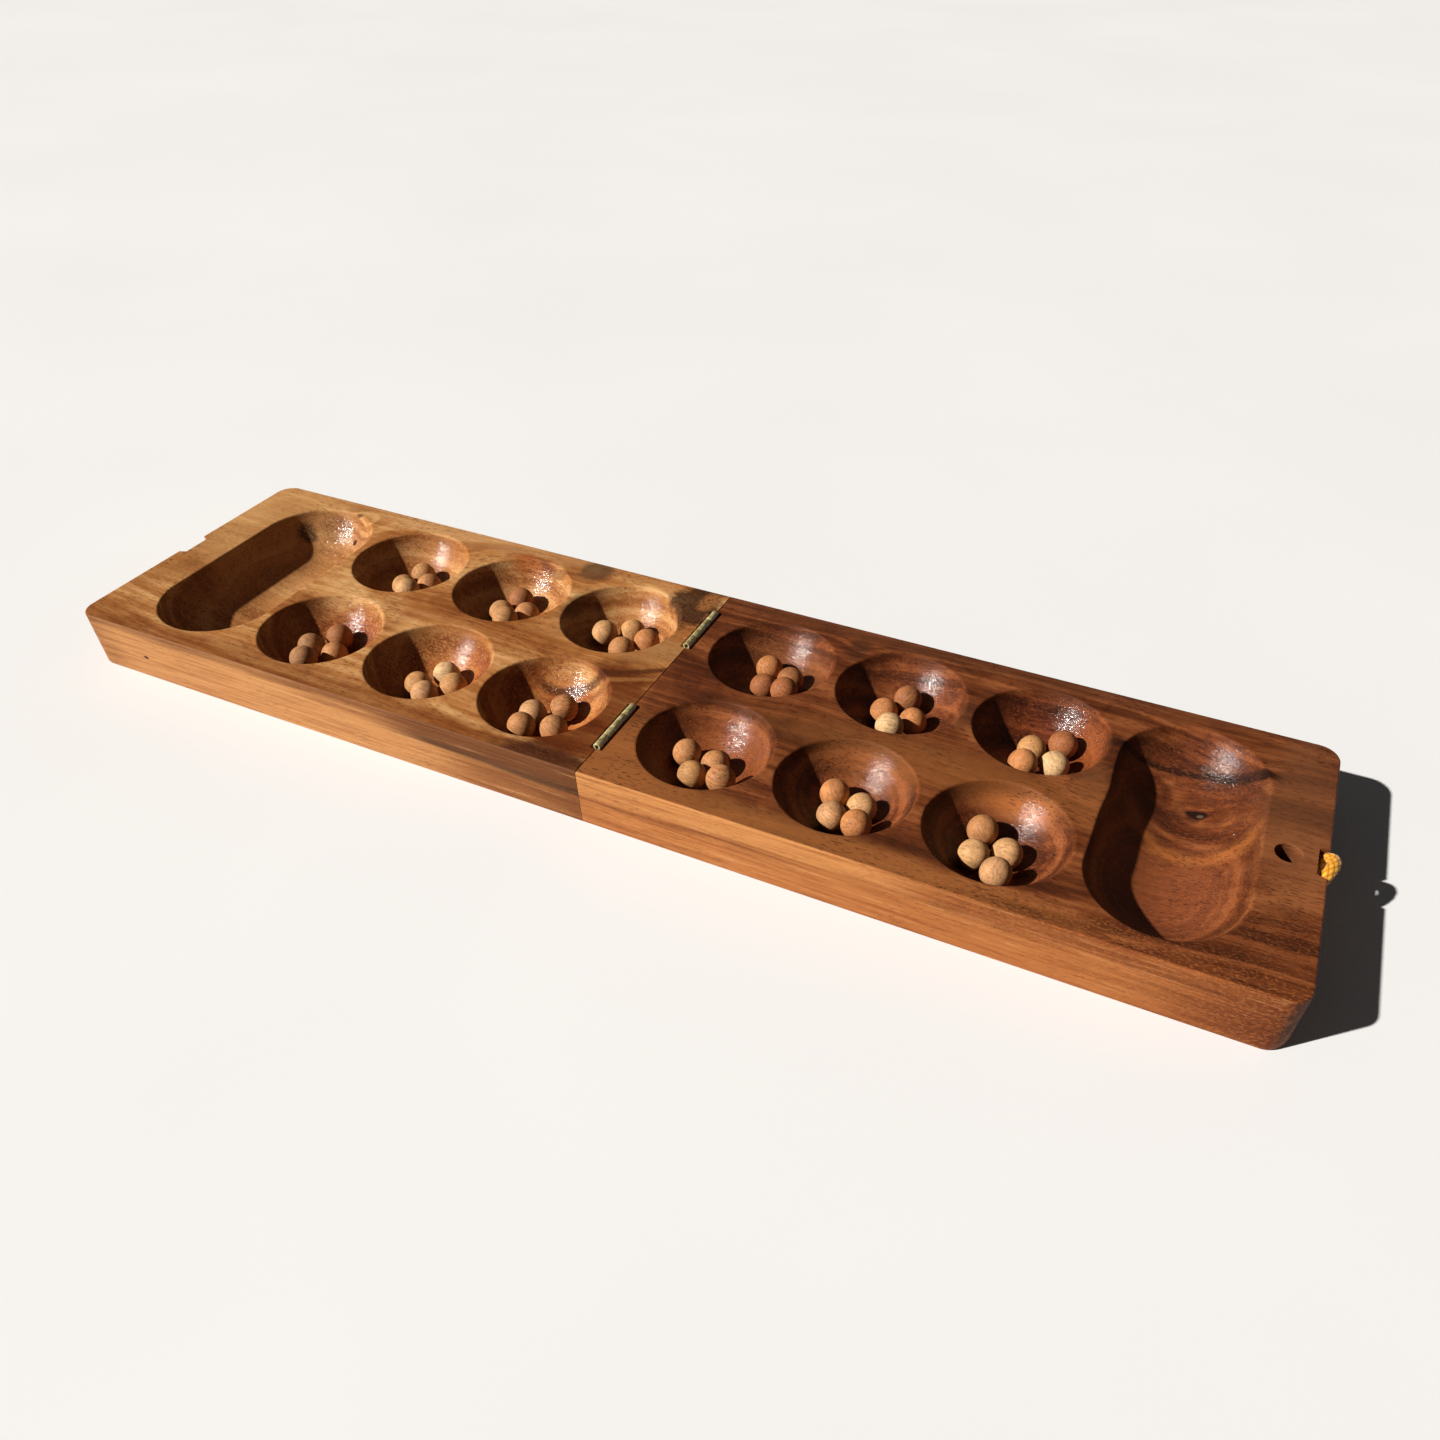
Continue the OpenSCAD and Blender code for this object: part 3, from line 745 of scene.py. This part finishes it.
dress(left_half, board_wood("left_wood_look", left_look))
dress(right_half, board_wood("right_wood_look", right_look))


# ---- seeds
# middle shade of each kind of seed; the name of its material slot comes second
TONES = {
    "C": ((234, 190, 138), "seed_cream_wood"), "c": ((220, 168, 114), "seed_cream_wood"),
    "p": ((208, 152, 97), "seed_pale_wood"), "r": ((208, 155, 107), "seed_pale_wood"),
    "t": ((198, 138, 88), "seed_tan_wood"), "g": ((182, 130, 86), "seed_tan_wood"),
    "o": ((206, 137, 84), "seed_tan_wood"),
    "b": ((172, 112, 70), "seed_brown_wood"), "d": ((176, 109, 67), "seed_brown_wood"),
}
# one letter per seed, pit by pit
SEED_TONES = {
    "front": ["gbgt", "prCp", "rttt", "ttpt", "orco", "tccr"],
    "rear": ["pptc", "ppbt", "cpto", "obdd", "oCbo", "pdoC"],
}
# the seeds whose rings show clearly
RINGED = {"front_3_3", "front_4_4"}
SEED_R, POLE_R = 4.98, 4.93


def seed_wood(name, middle):
    """Turned wood; "grain" holds the seed's own coordinates, "mark" how ringed and how grey it is."""
    s = Shader(name)
    g = s.attribute("grain")
    ringed, grey, _ = s.split(s.attribute("mark"))
    _, gy, gz = s.split(g)
    wobble = s.times(s.minus(s.noise(g, 0.3, 2.0, 0.5), 0.5), 3.0)
    r = s.math("SQRT", s.plus(s.times(gy, gy), s.times(gz, gz)))
    wave = s.math("SINE", s.times(s.plus(r, wobble), 4.8))
    rings = s.times(s.smooth(wave, 0.2, 0.95), ringed)
    fine = s.noise(s.stretch(g, 0.1, 1, 1), 1.5, 4.0, 0.62)
    broad = s.noise(g, 0.2, 2.0, 0.5)
    fac = s.plus(s.times(fine, 0.6), s.times(broad, 0.4))
    dark, light = (tuple(min(255, c * k) for c in middle) for k in (0.84, 1.12))
    colour = s.ramp(s.smooth(fac, 0.34, 0.66), [(0.0, dark), (0.5, middle), (1.0, light)])
    colour = s.mix(rings, colour, (196, 158, 128), "MULTIPLY")
    specks = s.smooth(s.noise(s.stretch(g, 0.35, 1, 1), 2.4, 1.0, 0.4), 0.63, 0.72)
    colour = s.mix(s.times(specks, 0.5), colour, (128, 84, 56), "MULTIPLY")
    colour = s.mix(s.times(grey, 0.2), colour, (216, 206, 196), "MULTIPLY")
    height = s.minus(s.times(fine, 0.6), specks)
    return s.finish({"Base Color": colour, "Roughness": 0.6, "Normal": s.bump(height, 0.00008, 0.6),
                     "Specular IOR Level": 0.15})


seed_looks = {}
for i, (tone, (middle, slot)) in enumerate(TONES.items()):
    seed_looks[tone] = seed_wood(f"seed_wood_{slot[5:-5]}_{i}", middle)


def any_way(rnd):
    """A random direction."""
    return Vector((rnd.gauss(0, 1), rnd.gauss(0, 1), rnd.gauss(0, 1))).normalized()


def make_seed(row, pit, number, rnd):
    """A ball with a few low lobes, turned on a lathe, which left a tiny flat at each pole."""
    node = f"seed_{row}_{pit}_{number}"
    tone = SEED_TONES[row][pit - 1][number - 1]
    low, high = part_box(node)
    centre = (Vector(low) + Vector(high)) / 2
    bm = bmesh.new()
    bmesh.ops.create_icosphere(bm, subdivisions=5, radius=1.0)
    turn = Matrix.Rotation(rnd.uniform(0, 6.28), 3, "Z") @ Matrix.Rotation(rnd.uniform(0, 3.14), 3, "X")
    shift = Vector((rnd.uniform(-40, 40), rnd.uniform(-1.5, 1.5), rnd.uniform(3, 10)))
    lobes = [(any_way(rnd), rnd.uniform(-0.07, 0.0)) for _ in range(5)]
    pole = any_way(rnd)
    me = bpy.data.meshes.new(node + "_ball")
    grain = []
    for v in bm.verts:
        n = v.co.normalized()
        r = SEED_R + sum(amount * max(0.0, n.dot(d)) ** 4 for d, amount in lobes)
        along = abs(n.dot(pole))
        if along * r > POLE_R:
            r = POLE_R / along
        grain.append(turn @ (n * r) + shift)
        v.co = centre + n * r * MM
    bm.to_mesh(me)
    bm.free()
    ringed = 0.5 if f"{row}_{pit}_{number}" in RINGED else rnd.choice((0.04, 0.1, 0.18))
    mark = (ringed, rnd.random(), 0.0)
    for label, values in (("grain", [c for g in grain for c in g]), ("mark", list(mark) * len(grain))):
        me.attributes.new(label, "FLOAT_VECTOR", "POINT").data.foreach_set("vector", values)
    shade_smooth(me)
    ob = link(node + "_ball", me)
    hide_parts(node)
    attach(ob, node)
    dress(ob, seed_looks[tone])


rnd = random.Random(11)
for row in ("front", "rear"):
    for pit in range(1, 7):
        for number in range(1, 5):
            make_seed(row, pit, number, rnd)


# ---- hinges, screws and stud
def metal(name, dark, mid, light, rough, tarnish=0.5, metallic=1.0, flank_highlight=None):
    """Brushed and stained metal; the last argument is the shade of a painted highlight along both flanks of a
    hinge barrel.
    """
    s = Shader(name)
    p = s.place()
    brushed = s.noise(s.stretch(p, 1, 0.1, 1), 5.0, 3.0, 0.6)
    stain = s.noise(p, 0.5, 5.0, 0.68)
    colour = s.ramp(s.smooth(stain, 0.36, 0.66), [(0.0, dark), (0.5, mid), (1.0, light)])
    colour = s.mix(s.smooth(brushed, 0.45, 0.75, 0.0, tarnish), colour, dark)
    # painted highlight: both flanks of the barrel are painted pale, where lit metal would shine
    if flank_highlight:
        edge = s.smooth(s.math("ABSOLUTE", s.split(p)[0]), 0.62, 0.98)
        colour = s.mix(s.times(edge, 0.75), colour, flank_highlight)
    r = s.plus(rough, s.times(stain, 0.22))
    return s.finish({"Base Color": colour, "Metallic": metallic, "Roughness": r,
                     "Normal": s.bump(brushed, 0.00004, 0.6)})


# hinge brass, with a painted highlight along the barrel's flanks
hinge_metal = metal("aged_brass", (146, 128, 72), (206, 188, 124), (240, 224, 166), 0.36,
                    tarnish=0.3, metallic=0.3, flank_highlight=(255, 246, 208))
pin_metal = metal("dark_pin", (58, 48, 34), (86, 74, 50), (120, 102, 66), 0.35)
screw_metal = metal("plain_brass", (150, 118, 62), (196, 160, 90), (222, 190, 116), 0.22)


def merge(name, obs):
    """One object from several finished ones."""
    bm = bmesh.new()
    for ob in obs:
        bm.from_mesh(ob.data)
        bpy.data.objects.remove(ob)
    me = bpy.data.meshes.new(name)
    bm.to_mesh(me)
    bm.free()
    return link(name, me)


def knuckle_part(y0, y1, side):
    """A rolled knuckle: the leaf's sheet curls round the pin and nearly closes on itself."""
    outer_r, inner_r, steps = 1.285, 0.72, 44
    ring = [math.radians(-62 + 320 * k / steps) for k in range(steps + 1)]
    v, f = [], []
    ys = [(y0, 0.10), (y0 + 0.04, 0.04), (y0 + 0.12, 0.0), (y1 - 0.12, 0.0), (y1 - 0.04, 0.04), (y1, 0.10)]
    for y, less in ys:
        for a in ring:
            v.append((side * (outer_r - less) * math.cos(a), y, AXIS_Z + (outer_r - less) * math.sin(a)))
        for a in reversed(ring):
            v.append((side * inner_r * math.cos(a), y, AXIS_Z + inner_r * math.sin(a)))
    n = 2 * (steps + 1)
    for r in range(len(ys) - 1):
        for i in range(n):
            j = (i + 1) % n
            f.append((r * n + i, r * n + j, (r + 1) * n + j, (r + 1) * n + i))
    for base in (0, (len(ys) - 1) * n):
        for i in range(steps):
            f.append((base + i, base + i + 1, base + n - 2 - i, base + n - 1 - i))
    return v, f


def eased_box(low, high, ease):
    """A box with small chamfers along every edge."""
    v, f = box_part(low, high)
    bm = bmesh.new()
    made = [bm.verts.new(p) for p in v]
    for face in f:
        bm.faces.new([made[i] for i in face])
    bmesh.ops.recalc_face_normals(bm, faces=bm.faces)
    bmesh.ops.bevel(bm, geom=bm.edges[:], offset=ease, segments=2, affect="EDGES", profile=0.5)
    bm.verts.index_update()
    part = ([tuple(p.co) for p in bm.verts], [[p.index for p in face.verts] for face in bm.faces])
    bm.free()
    return part


# each leaf's side, and the lengths of the barrel that its knuckles take
LEAVES = [("left", -1, [(-LEAF_HALF, -6.2), (6.2, LEAF_HALF)]), ("right", 1, [(-5.8, 5.8)])]
for row, y in (("front", -HINGE_Y), ("rear", HINGE_Y)):
    for name, side, spans in LEAVES:
        node = f"{row}_{name}_hinge_leaf"
        x0, x1 = sorted((side * LEAF_SEAM, side * (LEAF_SEAM + LEAF_THICK)))
        plate = join("plate", [eased_box((x0, y - LEAF_HALF, LEAF_LOW), (x1, y + LEAF_HALF, LEAF_TOP), 0.08)])
        sink = [(0, 1.86), (0.9, 0.95), (1.2, 0.9)]
        cones = [lathe_part((side * (LEAF_SEAM - 0.2), y + dy, SCREW_Z), (side, 0, 0), sink, 40)
                 for dy in SCREW_SPOTS]
        cut(plate, join("cutter", cones))
        rolls = [knuckle_part(y + a, y + b, side) for a, b in spans]
        necks = [box_part((x0, y + a + 0.03, 20.3), (x1, y + b - 0.03, 21.28)) for a, b in spans]
        leaf = merge(node + "_sheet", [plate, join("rolls", rolls), join("necks", necks)])
        shade_smooth(leaf.data)
        leaf.data.set_sharp_from_angle(angle=math.radians(32))
        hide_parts(node)
        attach(leaf, name)
        dress(leaf, hinge_metal)

# a countersunk head, nine turns of thread as plain ridges, and the point
screw_profile = [(0.0, 1.50), (0.06, 1.58), (0.14, 1.52), (0.72, 0.88), (0.8, 0.82)]
for k in range(9):
    along = 1.2 + 0.5 * k
    crest = 0.83 if along < 5 else 0.83 - (along - 5) * 0.3
    screw_profile += [(along, 0.66), (along + 0.22, crest), (along + 0.3, 0.66)]
screw_profile += [(6.2, 0.5), (6.95, 0.12)]

rnd = random.Random(5)
for name, side in (("left", -1), ("right", 1)):
    bodies, slots = [], []
    for s in (-1, 1):
        for dy in SCREW_SPOTS:
            at = Vector((side * LEAF_SEAM, s * HINGE_Y + dy, SCREW_Z))
            bodies.append(lathe_part(at, (side, 0, 0), screw_profile, 36))
            # the driver's slot lies at any angle
            a = rnd.uniform(0, math.pi)
            u, w = Vector((0, math.cos(a), math.sin(a))), Vector((0, -math.sin(a), math.cos(a)))
            slots.append(([at + Vector((side * d, 0, 0)) + u * i * 2.2 + w * j * 0.2
                           for d in (-0.5, 0.38) for i in (-1, 1) for j in (-1, 1)], BOX_FACES))
    screws = join(name + "_screws", bodies)
    cut(screws, join("cutter", slots))
    crease(screws, 40)
    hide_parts(name + "_leaf_screws")
    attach(screws, name)
    dress(screws, screw_metal)

# a straight shank of 1 mm radius, and a domed head whose crown reaches 9 mm
STUD_REACH, DOME_R = 9.0, 4
stud_profile = [(0, 1.0), (8.0, 1.0), (8.02, 2.3), (8.05, 2.5), (8.15, 2.57), (8.3, 2.52)]
for k in range(1, 9):
    r = 2.45 * (1 - k / 8)
    stud_profile.append((STUD_REACH - DOME_R + math.sqrt(DOME_R ** 2 - r * r), max(r, 0.02)))
stud_foot = (-(HALF_LENGTH - 0.2 - STUD_REACH), 0, STUD_Z)
stud = join("round_head_stud", [lathe_part(stud_foot, (-1, 0, 0), stud_profile, 48)])
crease(stud, 40)
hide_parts("catch_stud")
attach(stud, "left")
dress(stud, screw_metal)
dress(bpy.data.objects["hinge_pins"], pin_metal)


# ---- cord
# from the knot, out through one bore, round the loop, and back through the other; as in part.scad
CORD_ROUTE = [
    (212.1, -1.2, 11.6), (214, -1.6, 11.9), (217, -1.7, 12), (220.2, -1.7, 12),
    (221.6, -2.2, 12.9), (222.3, -3.1, 14.6), (222.6, -3.8, 16.6), (223.0, -3.6, 18.5),
    (223.7, -2.2, 19.8), (224.5, -0.2, 20.4), (225.0, 1.8, 20.5), (225.1, 3.6, 20.3),
    (224.6, 4.8, 19.9), (223.4, 5.2, 19.2), (222.3, 4.7, 18.2), (221.9, 3.6, 16.8),
    (221.9, 2.7, 15.2), (221.7, 2.1, 13.7), (221.1, 1.8, 12.5), (220.0, 1.7, 12),
    (217, 1.7, 12), (214, 1.6, 11.9), (212.1, 1.2, 11.6)]


def smooth_path(points, step):
    """Catmull-Rom curve through the points, resampled at even steps."""
    pts = [Vector(p) for p in points]
    last = len(pts) - 1
    closed = (pts[0] - pts[-1]).length < 1e-6
    dense = []
    for i in range(last):
        near = range(i - 1, i + 3)
        a, b, c, d = (pts[k % last] if closed else pts[min(max(k, 0), last)] for k in near)
        for k in range(20):
            t = k / 20
            dense.append(0.5 * ((2 * b) + (c - a) * t + (2 * a - 5 * b + 4 * c - d) * t * t
                                + (3 * b - a - 3 * c + d) * t ** 3))
    dense.append(pts[-1])
    total = sum((b - a).length for a, b in zip(dense, dense[1:]))
    n = max(2, round(total / step))
    out, run, i = [dense[0]], 0.0, 0
    for k in range(1, n):
        target = k * (total / n)
        while run + (dense[i + 1] - dense[i]).length < target:
            run += (dense[i + 1] - dense[i]).length
            i += 1
        seg = dense[i + 1] - dense[i]
        out.append(dense[i] + seg * ((target - run) / seg.length))
    out.append(dense[-1])
    return out


def braid(name, path, radius_at, pitch, sides, strands=6):
    """A braided tube: strands wind both ways and pass over and under each other."""
    n = len(path)
    heads = [(path[min(i + 1, n - 1)] - path[max(i - 1, 0)]).normalized() for i in range(n)]
    ref = heads[0].orthogonal().normalized()
    verts, shade, run = [], [], 0.0
    for i, (p, h) in enumerate(zip(path, heads)):
        ref = (ref - h * ref.dot(h)).normalized()
        up = h.cross(ref)
        full = radius_at(p)
        if i:
            run += (p - path[i - 1]).length
        for k in range(sides):
            a = k / sides
            u, v = strands * a + run / pitch, strands * a - run / pitch
            over = (math.floor(u) + math.floor(v)) % 2 == 0
            u, v = u % 1, v % 1
            across, along = (u, v) if over else (v, u)
            lift = (math.sin(math.pi * across) * math.sin(math.pi * along)) ** 0.5
            r = full * (0.88 + 0.12 * lift)
            verts.append(p + (ref * math.cos(2 * math.pi * a) + up * math.sin(2 * math.pi * a)) * r)
            shade.append((lift, across, 1.0 if over else 0.0))
    faces = []
    for i in range(n - 1):
        for k in range(sides):
            m = (k + 1) % sides
            faces.append((i * sides + k, i * sides + m, (i + 1) * sides + m, (i + 1) * sides + k))
    faces.append(tuple(range(sides)))
    faces.append(tuple((n - 1) * sides + k for k in range(sides)))
    ob = new_object(name, verts, faces)
    outward(ob)
    weave = ob.data.attributes.new("weave", "FLOAT_VECTOR", "POINT")
    weave.data.foreach_set("vector", [c for t in shade for c in t])
    return ob


def cord_yarn():
    """Yellow yarn, painted darker down between the strands and paler on their crests; "weave" holds a
    strand's lift, the place across it, and which strand is over.
    """
    s = Shader("gold_braid")
    lift, across, over = s.split(s.attribute("weave"))
    yarn = s.noise(s.place(), 5.0, 3.0, 0.6)
    # painted shade and highlight: dark orange in the braid's valleys, pale yellow on the strands' crests
    colour = s.ramp(lift, [(0.0, (150, 80, 8)), (0.45, (228, 148, 18)), (1.0, (253, 204, 56))])
    colour = s.mix(s.times(over, 0.3), colour, (236, 146, 20))
    colour = s.mix(s.times(s.smooth(yarn, 0.35, 0.65), 0.3), colour, (190, 110, 30), "MULTIPLY")
    threads = s.math("SINE", s.times(across, 25.0))
    height = s.plus(s.times(threads, 0.3), yarn)
    return s.finish({"Base Color": colour, "Roughness": 0.62, "Normal": s.bump(height, 0.00005, 0.7),
                     "Sheen Weight": 0.35, "Sheen Roughness": 0.4, "Specular IOR Level": 0.35})


yarn_look = cord_yarn()
path = smooth_path(CORD_ROUTE, 0.12)


def cord_radius(p):
    """The cord fills out above its two bores."""
    t = min(1.0, max(0.0, (p.z - 12.4) / 3.6))
    return 1.5 + 0.45 * t * t * (3 - 2 * t)


loop_cord = braid("braided_cord", path, cord_radius, 2.7, 84)
# a trefoil, which is an overhand knot with its ends joined
KNOT_SIZE, knot_points = 0.78, []
for k in range(49):
    t = 2 * math.pi * k / 48
    knot_points.append((KNOT_HOLE_X + KNOT_SIZE * (math.sin(t) + 2 * math.sin(2 * t)),
                        KNOT_SIZE * (math.cos(t) - 2 * math.cos(2 * t)),
                        10.6 - 1.9 * math.sin(3 * t)))
tied = braid("tied_knot", smooth_path(knot_points, 0.2), lambda p: 1.15, 2.4, 60)
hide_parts("closure_cord")
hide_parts("closure_knot")
for ob in (loop_cord, tied):
    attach(ob, "right")
    dress(ob, yarn_look)


# ---- floor and light
def make_stage():
    """A pale floor, clear from below and a hair above the underside, so that light reaches it from there."""
    bm = bmesh.new()
    bmesh.ops.create_grid(bm, x_segments=2, y_segments=2, size=6)
    me = bpy.data.meshes.new("floor")
    bm.to_mesh(me)
    bm.free()
    floor = link("floor", me)
    floor.location.z = 0.1 * MM
    s = Shader("pale_floor")
    tone = s.ramp(s.noise(s.place(), 0.004, 3.0, 0.5), [(0.3, (249, 249, 249)), (0.7, (253, 253, 253))])
    clear = s.add("ShaderNodeBsdfTransparent").outputs[0]
    me.materials.append(s.finish({"Base Color": tone, "Roughness": 0.8}, clear))


KEY_AZIMUTH, KEY_ELEVATION = math.radians(220), math.radians(36)
PALE_WALL, DIM_CEILING = 0.9, 0.045


def make_lights():
    """The photo's low sun, and a surround that is pale all round for the camera and dim overhead as light."""
    sun = bpy.data.lights.new("key", "SUN")
    sun.energy, sun.angle, sun.color = 6.9, math.radians(1.3), (1.0, 0.965, 0.92)
    ob = link("key", sun)
    level = math.cos(KEY_ELEVATION)
    back = Vector((math.cos(KEY_AZIMUTH) * level, math.sin(KEY_AZIMUTH) * level, math.sin(KEY_ELEVATION)))
    ob.rotation_mode = "QUATERNION"
    ob.rotation_quaternion = back.to_track_quat("Z", "Y")
    s = Shader("studio", "worlds")
    _, _, height = s.split(s.add("ShaderNodeTexCoord").outputs["Generated"])
    glow = s.smooth(height, -0.05, 0.13, PALE_WALL, DIM_CEILING)
    camera_ray = s.add("ShaderNodeLightPath").outputs["Is Camera Ray"]
    strength = s.add("ShaderNodeMix", {0: camera_ray, 2: glow, 3: PALE_WALL}).outputs[0]
    wall = s.add("ShaderNodeBackground", {"Color": (1.0, 0.99, 0.97, 1), "Strength": strength})
    s.add("ShaderNodeOutputWorld", {"Surface": wall.outputs[0]})
    bpy.context.scene.world = s.owner


make_stage()
make_lights()
